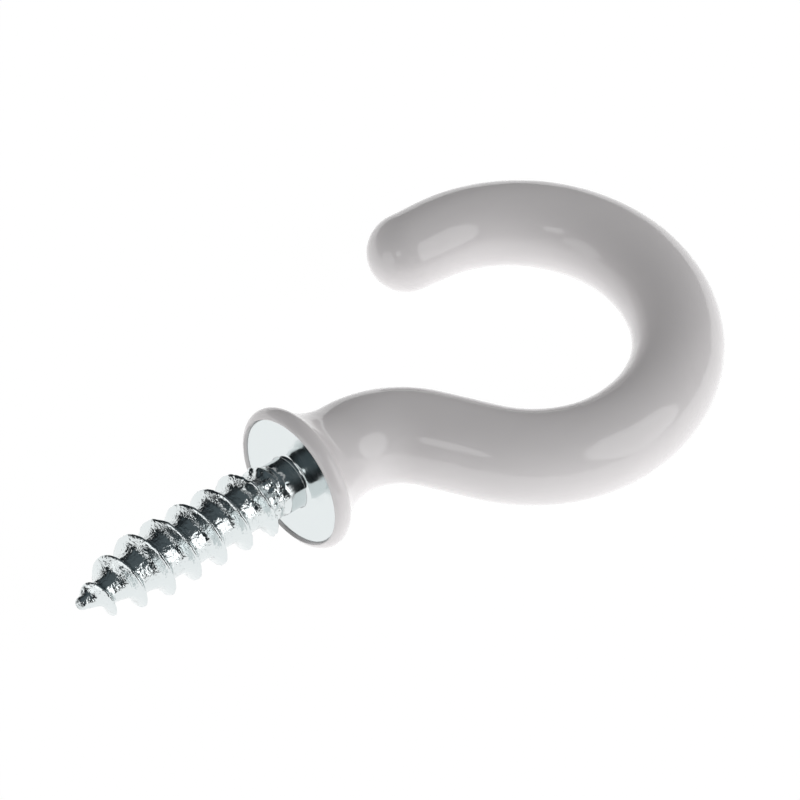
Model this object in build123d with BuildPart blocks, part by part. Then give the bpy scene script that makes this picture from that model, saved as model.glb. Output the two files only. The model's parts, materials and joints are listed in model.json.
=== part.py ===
"""A shouldered screw hook with a plastic-dipped bow.

The hook is one piece of steel wire: a coarse wood screw is rolled on one end, a round flange is upset
behind it, and the rest is bent into a bow in one plane. A thick soft-plastic coat covers the bow, the
back of the flange and its rim, and leaves the flange's seat face and the screw bare.

Both pieces are drawn with the screw's axis on X, the flange's seat face at x = 0 and the bow in the XY
plane. They are then tipped about Y, through the seat's centre, until the flange's rim and the far side
of the bow are level, which is how the hook lies on a table. Lengths are in millimetres and angles in
degrees.
"""

import os
from math import acos, atan2, degrees, hypot, radians, tan

from build123d import *

# Wire and screw
wire_diameter = 3.3
screw_length = 16.7
plain_shank_length = 1.6
shank_cone_length = 0.15
root_diameter = 3.0
taper_length = 5.2
tip_radius = 0.42
tip_round = 0.18

# Thread: a right-hand ridge that runs round the tapered point and fades out at the plain shank
thread_diameter = 4.6
thread_pitch = 2.0
thread_crest_width = 0.22
thread_flank_angle = 26
thread_sink = 0.2
point_ridge_height = 0.3
point_crest_width = 0.15
point_length = 0.6
fade_length = 1.0
fade_height = 0.05

# Flange
flange_diameter = 8.4
flange_thickness = 1.0
flange_edge_round = 0.15
shank_root_fillet = 0.25

# Bow: a straight neck, a bend one way, a straight link, then three tangent arcs the other way
neck_length = 4.4
neck_bend_radius = 5.5
neck_bend_angle = 57.4
link_length = 3.5
near_radius = 8.7
near_angle = 57.5
crown_radius = 11.0
crown_angle = 84.8
return_radius = 9.25
return_angle = 90.1
end_length = 2.1
wire_end_chamfer = 0.4

# Coat
coat_diameter = 5.86
coat_diameter_at_crown = 5.64
coat_diameter_at_return = 5.44
coat_diameter_at_end = 4.96
coat_end_thickness = 1.3
lip_thickness = 0.47
lip_round_radius = 0.62
lip_stands_proud = 0.17

wire_radius = wire_diameter / 2
root_radius = root_diameter / 2
flange_radius = flange_diameter / 2
coat_radius = coat_diameter / 2
end_radius = coat_diameter_at_end / 2
ridge_height = (thread_diameter - root_diameter) / 2

# The centreline that the wire and its coat share
with BuildLine() as centreline:
    neck = Line((0, 0), (neck_length, 0))
    neck_bend = JernArc(neck @ 1, neck % 1, neck_bend_radius, -neck_bend_angle)
    link = Line(neck_bend @ 1, neck_bend @ 1 + neck_bend % 1 * link_length)
    bow_near = JernArc(link @ 1, link % 1, near_radius, near_angle)
    bow_crown = JernArc(bow_near @ 1, bow_near % 1, crown_radius, crown_angle)
    bow_return = JernArc(bow_crown @ 1, bow_crown % 1, return_radius, return_angle)
    bow_end = Line(bow_return @ 1, bow_return @ 1 + bow_return % 1 * end_length)
    end_direction = bow_end % 1
    wire_end = Line(bow_end @ 1, bow_end @ 1 + end_direction * (end_radius - coat_end_thickness))

coated_lines = [neck_bend, link, bow_near, bow_crown, bow_return, bow_end]
wire_path = Wire([edge for line in [neck, *coated_lines, wire_end] for edge in line.edges()])
coat_path = Wire([edge for line in coated_lines for edge in line.edges()])


def across(point, direction):
    """The plane square to the bow's centreline at a point."""
    return Plane(point, x_dir=(0, 0, 1), z_dir=direction)


# The bare wire from the seat to its end inside the coat
with BuildPart() as bow_wire:
    with BuildSketch(across(neck @ 0, neck % 0)):
        Circle(wire_radius)
    sweep(path=wire_path)
    end_face = bow_wire.faces().sort_by(Axis(bow_end @ 1, end_direction))[-1]
    chamfer(end_face.edges(), wire_end_chamfer)

# The flange, with the edge of its seat face rounded over
with BuildPart() as flange:
    with BuildSketch(Plane.XY):
        with Locations((flange_thickness / 2, flange_radius / 2)):
            Rectangle(flange_thickness, flange_radius)
    revolve(axis=Axis.X)
    seat_rim = flange.faces().sort_by(Axis.X)[0].edges()
    fillet(seat_rim, flange_edge_round)

# The thread's three stretches, each a ridge swept along its own helix
taper_start = taper_length - screw_length
fade_start = -plain_shank_length - fade_length
cone_length = taper_length - point_length
cone_angle = degrees(atan2(root_radius - tip_radius, cone_length))

with BuildLine() as straight_line:
    straight_helix = Helix(thread_pitch, fade_start - taper_start, root_radius, (taper_start, 0, 0), (1, 0, 0))

with BuildLine() as fade_line:
    fade_helix = Helix(thread_pitch, fade_length, root_radius, (fade_start, 0, 0), (1, 0, 0))

with BuildLine() as point_line:
    point_helix = Helix(
        thread_pitch, cone_length, root_radius, (taper_start, 0, 0), (-1, 0, 0), cone_angle=-cone_angle
    )


def ridge_section(point, height, crest_width):
    """The ridge's section where its helix passes a point, in the plane through the screw's axis."""
    outward = Vector(0, point.Y, point.Z).normalized()
    foot = crest_width / 2 + (height + thread_sink) * tan(radians(thread_flank_angle))
    with BuildSketch(Plane(point, x_dir=(1, 0, 0), z_dir=Vector(1, 0, 0).cross(outward))) as section:
        with BuildLine():
            Polyline(
                (-foot, -thread_sink),
                (foot, -thread_sink),
                (crest_width / 2, height),
                (-crest_width / 2, height),
                close=True,
            )
        make_face()
    return section.sketch


def turn_of(point):
    """How far round the screw's axis a point stands."""
    return degrees(atan2(point.Z, point.Y))


with BuildPart() as straight_ridge:
    sweep(
        ridge_section(straight_helix @ 0, ridge_height, thread_crest_width),
        straight_helix,
        is_frenet=True,
    )

with BuildPart() as fading_ridge:
    sweep(
        [
            ridge_section(fade_helix @ 0, ridge_height, thread_crest_width),
            ridge_section(fade_helix @ 1, fade_height, point_crest_width),
        ],
        fade_helix,
        multisection=True,
        is_frenet=True,
    )

with BuildPart() as point_ridge:
    sweep(
        [
            ridge_section(point_helix @ 0, ridge_height, thread_crest_width),
            ridge_section(point_helix @ 1, point_ridge_height, point_crest_width),
        ],
        point_helix,
        multisection=True,
        is_frenet=True,
    )

# The screw: its blank turned about X, then the three ridges
with BuildPart() as screw:
    with BuildSketch(Plane.XY):
        with BuildLine():
            Polyline(
                (-screw_length, 0),
                (-screw_length, tip_radius - tip_round),
                (tip_round - screw_length, tip_radius),
                (taper_start, root_radius),
                (-plain_shank_length - shank_cone_length, root_radius),
                (-plain_shank_length, wire_radius),
                (-shank_root_fillet, wire_radius),
            )
            root_fillet = JernArc((-shank_root_fillet, wire_radius), (1, 0), shank_root_fillet, 90)
            Polyline(
                root_fillet @ 1,
                (flange_thickness / 2, wire_radius),
                (flange_thickness / 2, 0),
                (-screw_length, 0),
            )
        make_face()
    revolve(axis=Axis.X)
    add(straight_ridge.part)
    add(fading_ridge.part, rotation=(turn_of(straight_helix @ 1) - turn_of(fade_helix @ 0), 0, 0))
    add(point_ridge.part, rotation=(turn_of(straight_helix @ 0) - turn_of(point_helix @ 0), 0, 0))

# The coat's outer form: lip, hollow back of the flange, tapering tube and round end
lip_centre_x = lip_round_radius - lip_stands_proud
lip_centre_r = flange_radius + lip_thickness - lip_round_radius
lip_drop = lip_centre_r - coat_radius
run_to_neck = neck_length - lip_centre_x
hollow_radius = (run_to_neck**2 + lip_drop**2 - lip_round_radius**2) / (2 * (lip_round_radius + lip_drop))
hollow_centre = Vector(neck_length, coat_radius + hollow_radius)
lip_centre = Vector(lip_centre_x, lip_centre_r)
handover = lip_centre + (hollow_centre - lip_centre).normalized() * lip_round_radius
lip_foot_offset = (lip_round_radius**2 - (flange_radius - lip_centre_r) ** 2) ** 0.5
lip_foot = Vector(lip_centre_x - lip_foot_offset, flange_radius)
lip_top = lip_centre + Vector(0, lip_round_radius)

with BuildPart() as coat_form:
    with BuildSketch(Plane.XY):
        with BuildLine():
            outer_lip = ThreePointArc(
                lip_foot,
                lip_centre + Vector(-1, 1).normalized() * lip_round_radius,
                lip_top,
            )
            back_lip = TangentArc(lip_top, handover, tangent=(1, 0))
            TangentArc(handover, (neck_length, coat_radius), tangent=back_lip % 1)
            Polyline(
                (neck_length, coat_radius),
                (neck_length, 0),
                (flange_edge_round, 0),
                (flange_edge_round, flange_radius),
                lip_foot,
            )
        make_face()
    revolve(axis=Axis.X)
    with BuildSketch(across(neck @ 1, neck % 1)):
        Circle(coat_radius)
    with BuildSketch(across(bow_crown @ 0, bow_crown % 0)):
        Circle(coat_radius)
    with BuildSketch(across(bow_crown @ 1, bow_crown % 1)):
        Circle(coat_diameter_at_crown / 2)
    with BuildSketch(across(bow_return @ 0.5, bow_return % 0.5)):
        Circle(coat_diameter_at_return / 2)
    with BuildSketch(across(bow_end @ 1, bow_end % 1)):
        Circle(end_radius)
    sweep(path=coat_path, multisection=True)
    with BuildSketch(Plane(bow_end @ 1, x_dir=end_direction, z_dir=(0, 0, 1))):
        with BuildLine():
            round_end = CenterArc((0, 0), end_radius, 0, 90)
            Polyline(round_end @ 1, (0, 0), round_end @ 0)
        make_face()
    revolve(axis=Axis(bow_end @ 1, end_direction))

# How the hook lies: level where the lip and the far side of the bow touch the table
far_x = coat_path.bounding_box().max.X
span = far_x - lip_centre_x
rest_tilt = degrees(
    acos((coat_diameter_at_crown / 2 - lip_round_radius) / hypot(span, lip_centre_r))
    - atan2(span, lip_centre_r)
)

with BuildPart() as steel_hook:
    add(bow_wire.part, rotation=(0, rest_tilt, 0))
    add(flange.part, rotation=(0, rest_tilt, 0))
    add(screw.part, rotation=(0, rest_tilt, 0))

with BuildPart() as plastic_coat:
    add(coat_form.part, rotation=(0, rest_tilt, 0))
    add(bow_wire.part, rotation=(0, rest_tilt, 0), mode=Mode.SUBTRACT)
    add(flange.part, rotation=(0, rest_tilt, 0), mode=Mode.SUBTRACT)

steel_hook.part.label = "steel_hook"
plastic_coat.part.label = "plastic_coat"
os.makedirs("parts", exist_ok=True)
export_step(steel_hook.part, "parts/steel_hook.step")
export_step(plastic_coat.part, "parts/plastic_coat.step")
print("rest tilt", round(rest_tilt, 3), "lip-back radius", round(hollow_radius, 3))
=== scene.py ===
import json
from math import atan2, cos, hypot, pi, radians, sin, sqrt

import bpy
from mathutils import Matrix, Vector, noise


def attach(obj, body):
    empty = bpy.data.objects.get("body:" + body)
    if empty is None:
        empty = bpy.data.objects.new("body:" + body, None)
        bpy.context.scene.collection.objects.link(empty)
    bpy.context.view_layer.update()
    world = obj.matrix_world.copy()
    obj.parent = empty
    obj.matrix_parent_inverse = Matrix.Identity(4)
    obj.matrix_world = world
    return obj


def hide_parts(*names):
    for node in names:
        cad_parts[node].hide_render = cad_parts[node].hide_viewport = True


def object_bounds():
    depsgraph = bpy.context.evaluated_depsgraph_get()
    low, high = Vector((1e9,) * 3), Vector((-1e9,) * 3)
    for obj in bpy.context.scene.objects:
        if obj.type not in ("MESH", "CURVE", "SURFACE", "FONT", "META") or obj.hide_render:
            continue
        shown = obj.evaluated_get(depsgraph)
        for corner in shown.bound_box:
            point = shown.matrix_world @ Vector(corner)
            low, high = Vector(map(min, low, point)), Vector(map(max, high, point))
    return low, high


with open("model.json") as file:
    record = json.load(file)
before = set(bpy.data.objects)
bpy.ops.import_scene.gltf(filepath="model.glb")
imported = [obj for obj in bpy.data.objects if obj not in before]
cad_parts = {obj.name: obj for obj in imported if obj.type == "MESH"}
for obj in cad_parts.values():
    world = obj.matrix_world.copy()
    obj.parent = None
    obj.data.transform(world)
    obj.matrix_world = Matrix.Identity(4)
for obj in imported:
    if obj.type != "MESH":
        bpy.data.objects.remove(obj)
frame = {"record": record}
cad_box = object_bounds()


# The steel hook: one wire, zinc plated. Its thread is rolled on with a coarse right-hand pitch and a
# blunt point, the flange is upset from the wire, and the rest runs on inside the coat to its end.
WIRE_R = 1.65
SCREW_LENGTH = 16.7
THREAD_END = -1.3
THREAD_FADE = 1.0
PITCH = 2.0
ROOT_R = 1.5
TIP_R = 0.42
TAPER_LENGTH = 5.2
TAPER_SWELL = 0.25
FLANGE_R = 4.2
FLANGE_THICK = 1.0
FLANGE_EDGE = 0.15
SHANK_FILLET = 0.25
RING_SIDES = 96

# The hook is shaped in millimetres in its own axes: x along the screw from the flange's seat face
# towards the bow, y across the flat bow, z square to it. It is then laid on its bow and its flange's
# rim, with the screw's axis dipping a little towards the bow.
MM = 0.001
SEAT = Vector(frame["record"]["mounts"][0]["pos_m"])
SCREW_WAY = Vector(frame["record"]["mounts"][0]["axis"]).normalized()
REST_TILT = atan2(SCREW_WAY.z, -SCREW_WAY.x)
HOOK_TO_ROW = Matrix.Translation(SEAT) @ Matrix.Rotation(REST_TILT, 4, "Y") @ Matrix.Scale(MM, 4)

# One pitch of the thread as (along, radius), with its crest at 0: a broad hollow flank faces the tip
# and a steep one faces the flange. The turns start short of the tip and run past the thread's end.
THREAD_SECTION = [
    (-1.0, 1.50), (-0.85, 1.50), (-0.70, 1.505), (-0.57, 1.53), (-0.46, 1.585), (-0.36, 1.68),
    (-0.27, 1.82), (-0.19, 2.00), (-0.12, 2.16), (-0.07, 2.27), (-0.03, 2.30), (0.03, 2.30),
    (0.065, 2.26), (0.11, 2.14), (0.17, 1.97), (0.24, 1.80), (0.32, 1.67), (0.42, 1.57),
    (0.55, 1.515), (0.70, 1.50), (0.85, 1.50), (1.0, 1.50),
]
TURNS = 10
FIRST_TURN = -18.0
SCREW_MERGE = 0.0005

bpy.ops.object.select_all(action="DESELECT")
bpy.ops.mesh.primitive_plane_add(size=1, location=(0, 0, 0))
steel = bpy.context.object
steel.name = "steel_hook_wire"
bpy.ops.object.mode_set(mode="EDIT")
bpy.ops.mesh.select_all(action="SELECT")
bpy.ops.mesh.merge(type="CENTER")
bpy.ops.transform.translate(value=(FIRST_TURN + THREAD_SECTION[0][0], THREAD_SECTION[0][1], 0))
for (x0, r0), (x1, r1) in zip(THREAD_SECTION, THREAD_SECTION[1:]):
    bpy.ops.mesh.extrude_region_move(TRANSFORM_OT_translate={"value": (x1 - x0, r1 - r0, 0)})
bpy.ops.object.mode_set(mode="OBJECT")
turning = steel.modifiers.new("thread", "SCREW")
turning.axis = "X"
turning.angle = 2 * pi
turning.screw_offset = PITCH
turning.iterations = TURNS
turning.steps = RING_SIDES
turning.render_steps = RING_SIDES
turning.use_merge_vertices = True
turning.merge_threshold = SCREW_MERGE
bpy.ops.object.modifier_apply(modifier=turning.name)

# The root tapers to the point and swells to the plain shank, and the ridge grows from the point and
# fades at the shank. Places are (start, end) along x.
SHANK_SWELL = (THREAD_END - 0.5, THREAD_END)
RIDGE_GROWS = (-16.35, -14.9)
RIDGE_FADES = (THREAD_END - THREAD_FADE, THREAD_END - 0.1)


def smooth_rise(value, low, high):
    """0 below low, 1 above high and an even S between."""
    share = min(max((value - low) / (high - low), 0.0), 1.0)
    return share * share * (3 - 2 * share)


def root_at(x):
    """The root's radius, which tapers to the blunt point."""
    cone_start = TAPER_LENGTH - SCREW_LENGTH
    ball_centre = TIP_R - SCREW_LENGTH
    if x < ball_centre:
        return sqrt(max(TIP_R**2 - (x - ball_centre) ** 2, 0.0))
    if x < cone_start:
        share = (x - ball_centre) / (cone_start - ball_centre)
        return TIP_R + (ROOT_R - TIP_R) * (share + TAPER_SWELL * share * (1 - share))
    return ROOT_R + (WIRE_R - ROOT_R) * smooth_rise(x, *SHANK_SWELL)


def ridge_share(x):
    """How much of the ridge stands at a place along the screw."""
    return smooth_rise(x, *RIDGE_GROWS) * (1 - smooth_rise(x, *RIDGE_FADES))


for vertex in steel.data.vertices:
    x, y, z = vertex.co
    radius = hypot(y, z)
    x_held = min(max(x, -SCREW_LENGTH), THREAD_END)
    if x != x_held:
        new_radius = 0.0 if x < x_held else WIRE_R
    else:
        new_radius = root_at(x) + (radius - ROOT_R) * ridge_share(x)
    vertex.co = (x_held, y * new_radius / radius, z * new_radius / radius)

# Rolling leaves lumps in the roots, nicks along the crest and a torn last ridge by the shank. Each
# is (how often a millimetre, how deep in millimetres).
ROOT_LUMPS = [(1.7, 0.03), (3.9, 0.014), (8.5, 0.008)]
CREST_NICKS = (2.7, 0.05)
CREST_GRIT = (7, 0.02)
CREST_WEAR = 0.015
NICKS_APART = Vector((9, 0, 0))
TORN_RIDGE = (2.2, 0.20)
TORN_APART = Vector((0, 5, 0))
ROOT_EDGE = (1.6, 1.95)
CREST_EDGE = (2.05, 2.25)
TORN_STARTS = (-4.6, -2.4)
TORN_FADES = (THREAD_END - 0.7, THREAD_END - 0.1)
ROUGH_FROM = -SCREW_LENGTH + 0.3
ROUGH_TO = THREAD_END - 0.02


def roughness_of_rolling(x, y, z, radius):
    """How far the rolled steel stands off its true form."""
    spot = Vector((x, y, z))
    lumps = sum(noise.noise(spot * often) * depth for often, depth in ROOT_LUMPS)
    in_root = 1 - smooth_rise(radius, *ROOT_EDGE)
    on_crest = smooth_rise(radius, *CREST_EDGE)
    nicks = noise.noise(spot * CREST_NICKS[0] + NICKS_APART) * CREST_NICKS[1]
    nicks += noise.noise(spot * CREST_GRIT[0]) * CREST_GRIT[1] - CREST_WEAR
    near_shank = smooth_rise(x, *TORN_STARTS) * (1 - smooth_rise(x, *TORN_FADES))
    torn = noise.noise(spot * TORN_RIDGE[0] + TORN_APART) * TORN_RIDGE[1] * near_shank
    return in_root * lumps + on_crest * nicks + torn


for vertex in steel.data.vertices:
    x, y, z = vertex.co
    radius = hypot(y, z)
    if ROUGH_FROM < x < ROUGH_TO:
        new_radius = radius + roughness_of_rolling(x, y, z, radius)
        vertex.co = (x, y * new_radius / radius, z * new_radius / radius)

# Past the thread the wire is drawn on ring by ring: the plain shank, its fillet, the flange's seat
# face, rim and back, and then the bow. Its centreline is (length or radius, turn) of each run, a
# straight where the turn is 0.
NECK = 4.4
BOW_RUNS = [
    (NECK, 0),
    (5.5, -57.4),
    (3.5, 0),
    (8.7, 57.5),
    (11.0, 84.8),
    (9.25, 90.1),
    (2.1, 0),
]
BOW_LENGTH = sum(size if turn == 0 else size * radians(abs(turn)) for size, turn in BOW_RUNS)
COAT_END_R = 2.48
COAT_END_THICK = 1.3
WIRE_LENGTH = BOW_LENGTH + COAT_END_R - COAT_END_THICK
WIRE_CHAMFER = 0.4
WIRE_STEPS = 60
ROUND_STEPS = 4
FLANGE_RINGS = (2.3, 2.8, 3.3, 3.7, FLANGE_R - FLANGE_EDGE - 0.08, FLANGE_R - FLANGE_EDGE)
CLOSED_SHARE = 0.02
THREAD_MERGE = 0.0008
SLIVER = 0.0004
PIECE_MERGE = 0.002


def bow_place(distance):
    """The centreline's point and heading at a distance from the seat, straight on past its end."""
    x, y, heading = 0.0, 0.0, 0.0
    for size, turn in BOW_RUNS:
        length = size if turn == 0 else size * radians(abs(turn))
        step = distance if distance < length else length
        if turn == 0:
            x, y = x + step * cos(heading), y + step * sin(heading)
        else:
            side = 1 if turn > 0 else -1
            swing = side * step / size
            x += side * size * (sin(heading + swing) - sin(heading))
            y -= side * size * (cos(heading + swing) - cos(heading))
            heading += swing
        distance -= step
        if distance <= 0:
            return x, y, heading
    return x + distance * cos(heading), y + distance * sin(heading), heading


def extrude_ring(piece_at, distance, radius):
    """Extrudes the selected ring along the centreline to a distance from the seat, at a new radius."""
    before, old_radius = piece_at
    x0, y0, heading0 = bow_place(max(before, 0))
    x1, y1, heading1 = bow_place(max(distance, 0))
    step = (x1 - x0 + min(distance, 0) - min(before, 0), y1 - y0, 0)
    centre = (x1 + min(distance, 0), y1, 0)
    bpy.ops.mesh.extrude_region_move(TRANSFORM_OT_translate={"value": step})
    if heading1 != heading0:
        bpy.ops.transform.rotate(value=heading0 - heading1, orient_axis="Z", center_override=centre)
    ratio = radius / old_radius
    bpy.ops.transform.resize(value=(ratio, ratio, ratio), center_override=centre)
    return distance, radius


def close_ring(piece_at, distance):
    """Closes the selected ring to a point on the centreline."""
    extrude_ring(piece_at, distance, piece_at[1] * CLOSED_SHARE)
    bpy.ops.mesh.merge(type="CENTER")


def extrude_wire(piece_at):
    """Extrudes the selected ring from the flange's back along the bow to the wire's closed end."""
    piece_at = extrude_ring(piece_at, FLANGE_THICK, WIRE_R)
    run = WIRE_LENGTH - WIRE_CHAMFER - FLANGE_THICK
    for step in range(1, WIRE_STEPS + 1):
        piece_at = extrude_ring(piece_at, FLANGE_THICK + run * step / WIRE_STEPS, WIRE_R)
    piece_at = extrude_ring(piece_at, WIRE_LENGTH, WIRE_R - WIRE_CHAMFER)
    close_ring(piece_at, WIRE_LENGTH)


def finish_piece(piece, material):
    """Cleans a piece, carries it from the hook's own axes into place and gives it its finish."""
    bpy.ops.mesh.select_all(action="SELECT")
    bpy.ops.mesh.remove_doubles(threshold=PIECE_MERGE)
    bpy.ops.mesh.normals_make_consistent(inside=False)
    bpy.ops.object.mode_set(mode="OBJECT")
    piece.data.transform(HOOK_TO_ROW)
    bpy.ops.object.shade_smooth()
    piece.data.materials.append(material)


bpy.ops.object.mode_set(mode="EDIT")
bpy.ops.mesh.select_all(action="SELECT")
bpy.ops.mesh.remove_doubles(threshold=THREAD_MERGE)
bpy.ops.mesh.dissolve_degenerate(threshold=SLIVER)
bpy.ops.mesh.select_all(action="DESELECT")
bpy.ops.mesh.select_mode(type="EDGE")
bpy.ops.mesh.select_non_manifold()
at = (THREAD_END, WIRE_R)
at = extrude_ring(at, (THREAD_END - SHANK_FILLET) / 2, WIRE_R)
for step in range(ROUND_STEPS + 1):
    bend = radians(90) * step / ROUND_STEPS
    at = extrude_ring(at, -SHANK_FILLET * (1 - sin(bend)), WIRE_R + SHANK_FILLET * (1 - cos(bend)))
for radius in FLANGE_RINGS:
    at = extrude_ring(at, 0, radius)
for step in range(1, ROUND_STEPS + 1):
    bend = radians(90) * step / ROUND_STEPS
    at = extrude_ring(at, FLANGE_EDGE * (1 - cos(bend)), FLANGE_R - FLANGE_EDGE * (1 - sin(bend)))
at = extrude_ring(at, FLANGE_THICK, FLANGE_R)
extrude_wire(at)

# How rolled the steel's face is: all of it in the roots, half on the flanks, none on the shank and
# the flange. The finish reads it for its grain.
ROLLED_END = (THREAD_END - 0.4, THREAD_END)
FLANK_EDGE = (1.6, 1.9)
FLANK_SMOOTHING = 0.5

bpy.ops.object.mode_set(mode="OBJECT")
rolled = steel.data.attributes.new("rolled", "FLOAT", "POINT")
for vertex in steel.data.vertices:
    x, y, z = vertex.co
    threaded = 1 - smooth_rise(x, *ROLLED_END)
    on_flank = smooth_rise(hypot(y, z), *FLANK_EDGE)
    rolled.data[vertex.index].value = threaded * (1 - FLANK_SMOOTHING * on_flank)
bpy.ops.object.mode_set(mode="EDIT")

# Zinc plate: bright and bluish, a little duller in clouds, with lumps and fine marks that run round
# the screw where the steel was rolled.
ZINC = (0.69, 0.73, 0.735, 1)
PER_MM = (1000, 1000, 1000)
CLOUDS_PER_MM = 1.3
CLOUD_DETAIL = 4
CLOUD_RANGE = (0.35, 0.7)
ZINC_ROUGHNESS = (0.06, 0.20)
LUMPS_PER_MM = 4.2
LUMP_DETAIL = 2.5
MARKS_SCALE = (6500, 1100, 1100)
MARK_DETAIL = 2
MARKS_SHARE = 0.5
ROLLED_RELIEF = 0.60
PLAIN_RELIEF = 0.02
RELIEF_DEPTH = 0.00012


def scaled_noise(nodes, links, scale, often, detail):
    """A noise on the piece's own metres, stretched by scale."""
    place = nodes.new("ShaderNodeTexCoord")
    stretch = nodes.new("ShaderNodeMapping")
    stretch.inputs["Scale"].default_value = scale
    links.new(place.outputs["Object"], stretch.inputs["Vector"])
    pattern = nodes.new("ShaderNodeTexNoise")
    pattern.inputs["Scale"].default_value = often
    pattern.inputs["Detail"].default_value = detail
    links.new(stretch.outputs["Vector"], pattern.inputs["Vector"])
    return pattern.outputs["Fac"]


def zinc_plate():
    zinc = bpy.data.materials.new("zinc_plate")
    zinc.use_nodes = True
    nodes, links = zinc.node_tree.nodes, zinc.node_tree.links
    skin = nodes["Principled BSDF"]
    skin.inputs["Base Color"].default_value = ZINC
    skin.inputs["Metallic"].default_value = 1.0
    dulling = nodes.new("ShaderNodeMapRange")
    dulling.inputs["From Min"].default_value = CLOUD_RANGE[0]
    dulling.inputs["From Max"].default_value = CLOUD_RANGE[1]
    dulling.inputs["To Min"].default_value = ZINC_ROUGHNESS[0]
    dulling.inputs["To Max"].default_value = ZINC_ROUGHNESS[1]
    clouds = scaled_noise(nodes, links, PER_MM, CLOUDS_PER_MM, CLOUD_DETAIL)
    links.new(clouds, dulling.inputs["Value"])
    links.new(dulling.outputs["Result"], skin.inputs["Roughness"])
    marks = nodes.new("ShaderNodeMath")
    marks.operation = "MULTIPLY_ADD"
    marks.inputs[1].default_value = MARKS_SHARE
    links.new(scaled_noise(nodes, links, MARKS_SCALE, 1, MARK_DETAIL), marks.inputs[0])
    links.new(scaled_noise(nodes, links, PER_MM, LUMPS_PER_MM, LUMP_DETAIL), marks.inputs[2])
    how_rolled = nodes.new("ShaderNodeAttribute")
    how_rolled.attribute_name = "rolled"
    depth = nodes.new("ShaderNodeMath")
    depth.operation = "MULTIPLY_ADD"
    depth.inputs[1].default_value = ROLLED_RELIEF
    depth.inputs[2].default_value = PLAIN_RELIEF
    links.new(how_rolled.outputs["Fac"], depth.inputs[0])
    relief = nodes.new("ShaderNodeBump")
    relief.inputs["Distance"].default_value = RELIEF_DEPTH
    links.new(depth.outputs[0], relief.inputs["Strength"])
    links.new(marks.outputs[0], relief.inputs["Height"])
    links.new(relief.outputs["Normal"], skin.inputs["Normal"])
    return zinc


finish_piece(steel, zinc_plate())
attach(steel, "root")
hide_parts("steel_hook")


# The coat: soft white vinyl, dipped while hot so that it closes round the wire's end, thins towards
# it, and pools behind the flange. Its edge rolls over the flange's rim and stands a little proud.
COAT_STATIONS = [(0, 2.93), (0.08, 2.93), (0.40, 2.93), (0.70, 2.82), (0.83, 2.72), (1, COAT_END_R)]
LIP_ROUND = 0.62
LIP_PROUD = 0.17
LIP_THICK = 0.47
LIP_STEPS = 20
HOLLOW_STEPS = 24
BOW_STEPS = 180
END_STEPS = 16


def coat_radius(distance):
    """The coat's radius along the bow, between the places (share of the bow, radius) given above."""
    share = min(max(distance / BOW_LENGTH, 0), 1)
    for (s0, r0), (s1, r1) in zip(COAT_STATIONS, COAT_STATIONS[1:]):
        if share <= s1:
            return r0 + (r1 - r0) * (share - s0) / (s1 - s0)
    return COAT_STATIONS[-1][1]


lip_x = LIP_ROUND - LIP_PROUD
lip_r = FLANGE_R + LIP_THICK - LIP_ROUND
drop = lip_r - coat_radius(NECK)
run = NECK - lip_x
hollow = (run**2 + drop**2 - LIP_ROUND**2) / (2 * (LIP_ROUND + drop))
lip_end_angle = atan2(coat_radius(NECK) + hollow - lip_r, run)

bpy.ops.object.select_all(action="DESELECT")
bpy.ops.mesh.primitive_circle_add(vertices=RING_SIDES, radius=1, location=(0, 0, 0))
coat = bpy.context.object
coat.name = "vinyl_coat"
bpy.ops.object.mode_set(mode="EDIT")
bpy.ops.mesh.select_all(action="SELECT")
bpy.ops.transform.resize(value=(FLANGE_R, FLANGE_R, FLANGE_R))
bpy.ops.object.mode_set(mode="OBJECT")
coat.data.transform(Matrix.Translation((FLANGE_THICK, 0, 0)) @ Matrix.Rotation(pi / 2, 4, "Y"))
bpy.ops.object.mode_set(mode="EDIT")
bpy.ops.mesh.select_all(action="SELECT")
at = (FLANGE_THICK, FLANGE_R)
start = pi - atan2(FLANGE_R - lip_r, sqrt(LIP_ROUND**2 - (FLANGE_R - lip_r) ** 2))
for step in range(LIP_STEPS + 1):
    angle = start + (lip_end_angle - start) * step / LIP_STEPS
    at = extrude_ring(at, lip_x + LIP_ROUND * cos(angle), lip_r + LIP_ROUND * sin(angle))
slope_end = pi / 2 - lip_end_angle
for step in range(1, HOLLOW_STEPS + 1):
    slope = slope_end * (1 - step / HOLLOW_STEPS)
    at = extrude_ring(at, NECK - hollow * sin(slope), coat_radius(NECK) + hollow * (1 - cos(slope)))
for step in range(1, BOW_STEPS + 1):
    distance = NECK + (BOW_LENGTH - NECK) * step / BOW_STEPS
    at = extrude_ring(at, distance, coat_radius(distance))
for step in range(1, END_STEPS):
    angle = radians(90) * step / END_STEPS
    at = extrude_ring(at, BOW_LENGTH + COAT_END_R * sin(angle), COAT_END_R * cos(angle))
close_ring(at, BOW_LENGTH + COAT_END_R)

# Inside, the coat fits the flange's back and the wire.
bpy.ops.mesh.select_all(action="DESELECT")
bpy.ops.mesh.select_non_manifold()
extrude_wire((FLANGE_THICK, FLANGE_R))

# Soft vinyl: a warm white, glossy, with the slow waves that dipping leaves.
VINYL = (0.82, 0.795, 0.80, 1)
VINYL_ROUGHNESS = 0.11
VINYL_IOR = 1.5
WAVES_PER_MM = 0.25
WAVE_DETAIL = 2
WAVE_STRENGTH = 0.3
WAVE_DEPTH = 0.0004


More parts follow.
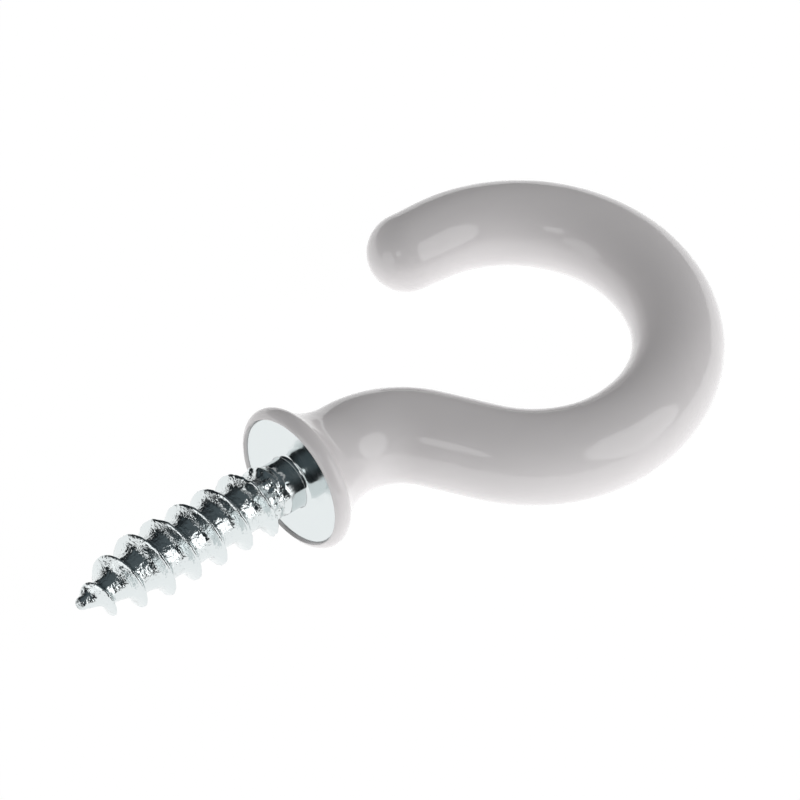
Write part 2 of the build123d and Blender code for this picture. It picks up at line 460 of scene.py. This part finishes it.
def soft_plastic():
    vinyl = bpy.data.materials.new("soft_plastic")
    vinyl.use_nodes = True
    nodes, links = vinyl.node_tree.nodes, vinyl.node_tree.links
    skin = nodes["Principled BSDF"]
    skin.inputs["Base Color"].default_value = VINYL
    skin.inputs["Roughness"].default_value = VINYL_ROUGHNESS
    skin.inputs["IOR"].default_value = VINYL_IOR
    relief = nodes.new("ShaderNodeBump")
    relief.inputs["Strength"].default_value = WAVE_STRENGTH
    relief.inputs["Distance"].default_value = WAVE_DEPTH
    links.new(scaled_noise(nodes, links, PER_MM, WAVES_PER_MM, WAVE_DETAIL), relief.inputs["Height"])
    links.new(relief.outputs["Normal"], skin.inputs["Normal"])
    return vinyl


finish_piece(coat, soft_plastic())
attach(coat, "root")
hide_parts("plastic_coat")


# The table: a white light board that the hook lies on, wide enough to fill the view. A small share of
# it is plain white paper, which keeps a faint soft shadow under the hook.
FLOOR_Z = cad_box[0][2]
TABLE_SIZE = 3.0
BOARD_LIGHT = 1.15
BOARD_WHITE = 1.02
PAPER_SHARE = 0.03
PAPER = (0.95, 0.95, 0.95, 1)


def light_board():
    board = bpy.data.materials.new("light_board")
    board.use_nodes = True
    nodes, links = board.node_tree.nodes, board.node_tree.links
    nodes.clear()
    paper = nodes.new("ShaderNodeBsdfDiffuse")
    paper.inputs["Color"].default_value = PAPER
    seen = nodes.new("ShaderNodeLightPath")
    level = nodes.new("ShaderNodeMapRange")
    level.inputs["To Min"].default_value = BOARD_LIGHT
    level.inputs["To Max"].default_value = BOARD_WHITE
    links.new(seen.outputs["Is Camera Ray"], level.inputs["Value"])
    glow = nodes.new("ShaderNodeEmission")
    glow.inputs["Color"].default_value = (1, 1, 1, 1)
    links.new(level.outputs["Result"], glow.inputs["Strength"])
    mix = nodes.new("ShaderNodeMixShader")
    mix.inputs[0].default_value = PAPER_SHARE
    links.new(glow.outputs[0], mix.inputs[1])
    links.new(paper.outputs[0], mix.inputs[2])
    out = nodes.new("ShaderNodeOutputMaterial")
    links.new(mix.outputs[0], out.inputs["Surface"])
    return board


bpy.ops.object.select_all(action="DESELECT")
bpy.ops.mesh.primitive_plane_add(size=TABLE_SIZE, location=(0, 0, FLOOR_Z))
table = bpy.context.object
table.name = "table"
table.data.materials.append(light_board())


# The studio: a dim even room that metal mirrors as dark, with a wide soft box low beside the bow's
# crown, a small one over the screw, a low one past its tip and a broad one high behind the hook.
ROOM_SHADE = (0.115, 0.115, 0.115, 1)
ROOM_LOW = (0.015, 0.018, 0.020, 1)
ROOM_HIGH = (0.085, 0.105, 0.115, 1)
ROOM_RISE = (0.35, 0.95)
# Each box is its way from the hook, its distance and size in metres and its power in watts.
CROWN_SIDE_BOX = ((0.46, -0.78, 0.43), 0.6, 0.58, 1.6)
SCREW_SIDE_BOX = ((-0.71, -0.26, 0.65), 0.6, 0.16, 0.12)
LOW_SIDE_BOX = ((-0.97, 0.10, 0.22), 0.6, 0.42, 0.60)
BACK_BOX = ((0.35, 0.62, 0.70), 0.7, 1.1, 1.25)


def room():
    """The room as a world: one shade for plain surfaces, a darker one in mirrors, white when seen."""
    world = bpy.data.worlds.new("room")
    world.use_nodes = True
    nodes, links = world.node_tree.nodes, world.node_tree.links
    nodes.clear()
    way = nodes.new("ShaderNodeTexCoord")
    height = nodes.new("ShaderNodeSeparateXYZ")
    links.new(way.outputs["Generated"], height.inputs[0])
    ramp = nodes.new("ShaderNodeValToRGB")
    ramp.color_ramp.interpolation = "EASE"
    ramp.color_ramp.elements[0].position = ROOM_RISE[0]
    ramp.color_ramp.elements[0].color = ROOM_LOW
    ramp.color_ramp.elements[1].position = ROOM_RISE[1]
    ramp.color_ramp.elements[1].color = ROOM_HIGH
    links.new(height.outputs["Z"], ramp.inputs[0])
    mirrored = nodes.new("ShaderNodeBackground")
    links.new(ramp.outputs["Color"], mirrored.inputs["Color"])
    plain = nodes.new("ShaderNodeBackground")
    plain.inputs["Color"].default_value = ROOM_SHADE
    white = nodes.new("ShaderNodeBackground")
    white.inputs["Color"].default_value = (1, 1, 1, 1)
    seen = nodes.new("ShaderNodeLightPath")
    by_mirror = nodes.new("ShaderNodeMixShader")
    links.new(seen.outputs["Is Glossy Ray"], by_mirror.inputs[0])
    links.new(plain.outputs[0], by_mirror.inputs[1])
    links.new(mirrored.outputs[0], by_mirror.inputs[2])
    by_camera = nodes.new("ShaderNodeMixShader")
    links.new(seen.outputs["Is Camera Ray"], by_camera.inputs[0])
    links.new(by_mirror.outputs[0], by_camera.inputs[1])
    links.new(white.outputs[0], by_camera.inputs[2])
    out = nodes.new("ShaderNodeOutputWorld")
    links.new(by_camera.outputs[0], out.inputs["Surface"])
    return world


def soft_box(name, way, distance, size, power):
    """A round soft box in a direction from the hook, turned to face it; returns its holder."""
    lamp = bpy.data.lights.new(name, "AREA")
    lamp.shape = "DISK"
    lamp.size = size
    lamp.energy = power
    holder = bpy.data.objects.new(name, lamp)
    holder.location = Vector(way).normalized() * distance
    holder.rotation_euler = (-holder.location).to_track_quat("-Z", "Y").to_euler()
    bpy.context.collection.objects.link(holder)
    return holder


bpy.context.scene.world = room()
soft_box("crown_side_box", *CROWN_SIDE_BOX)
soft_box("screw_side_box", *SCREW_SIDE_BOX)
soft_box("low_side_box", *LOW_SIDE_BOX)
back_box = soft_box("back_box", *BACK_BOX)
back_box.visible_glossy = False


# The camera: a long lens that looks down on the hook from over the screw's side.
CAMERA_AZIMUTH = radians(-41.25)
CAMERA_ELEVATION = radians(46.9)
CAMERA_DISTANCE = 450 * MM
CAMERA_LENS = 336.4
CAMERA_SENSOR = 36
CAMERA_CLIP = 0.01
CAMERA_AIM = Vector((7.29, -1.64, 3.34)) * MM

camera = bpy.data.objects.new("camera", bpy.data.cameras.new("camera"))
bpy.context.collection.objects.link(camera)
towards_camera = Vector((
    sin(CAMERA_AZIMUTH) * cos(CAMERA_ELEVATION),
    -cos(CAMERA_AZIMUTH) * cos(CAMERA_ELEVATION),
    sin(CAMERA_ELEVATION),
))
camera.location = CAMERA_AIM + CAMERA_DISTANCE * towards_camera
camera.rotation_euler = (-towards_camera).to_track_quat("-Z", "Y").to_euler()
camera.data.lens = CAMERA_LENS
camera.data.sensor_width = CAMERA_SENSOR
camera.data.clip_start = CAMERA_CLIP
bpy.context.scene.camera = camera
bpy.context.scene.view_settings.view_transform = "Standard"
